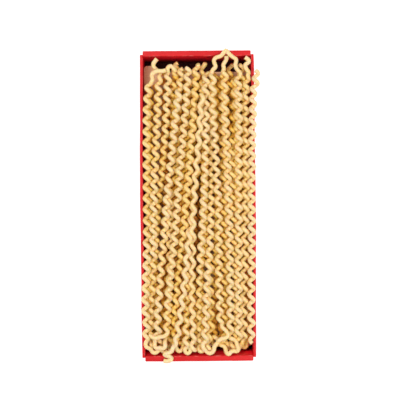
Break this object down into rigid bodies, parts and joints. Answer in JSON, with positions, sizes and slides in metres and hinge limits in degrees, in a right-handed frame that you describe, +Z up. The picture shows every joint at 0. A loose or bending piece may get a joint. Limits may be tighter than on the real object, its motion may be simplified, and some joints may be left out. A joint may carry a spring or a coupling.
{
  "type": "bundle of long fusilli in an open box",
  "caption": "Bundle of long corkscrew pasta strands, folded over at one end, lying in a shallow open red card box on a raised kraft card.",
  "frame": {"origin": "middle of the box's underside", "axes": "+Z up out of the open box, +Y along the box towards the strands' cut ends, +X across it"},
  "size_m": [0.1076, 0.28, 0.0542],
  "materials": {
    "red_card": "printed red card, satin",
    "kraft_card": "unprinted kraft card, matt",
    "dried_pasta": "dried durum wheat dough, smooth and slightly translucent"
  },
  "bodies": {
    "root": {"card_box": "red_card", "kraft_platform": "kraft_card", "fusilli_bundle": "dried_pasta"}
  },
  "joints": []
}
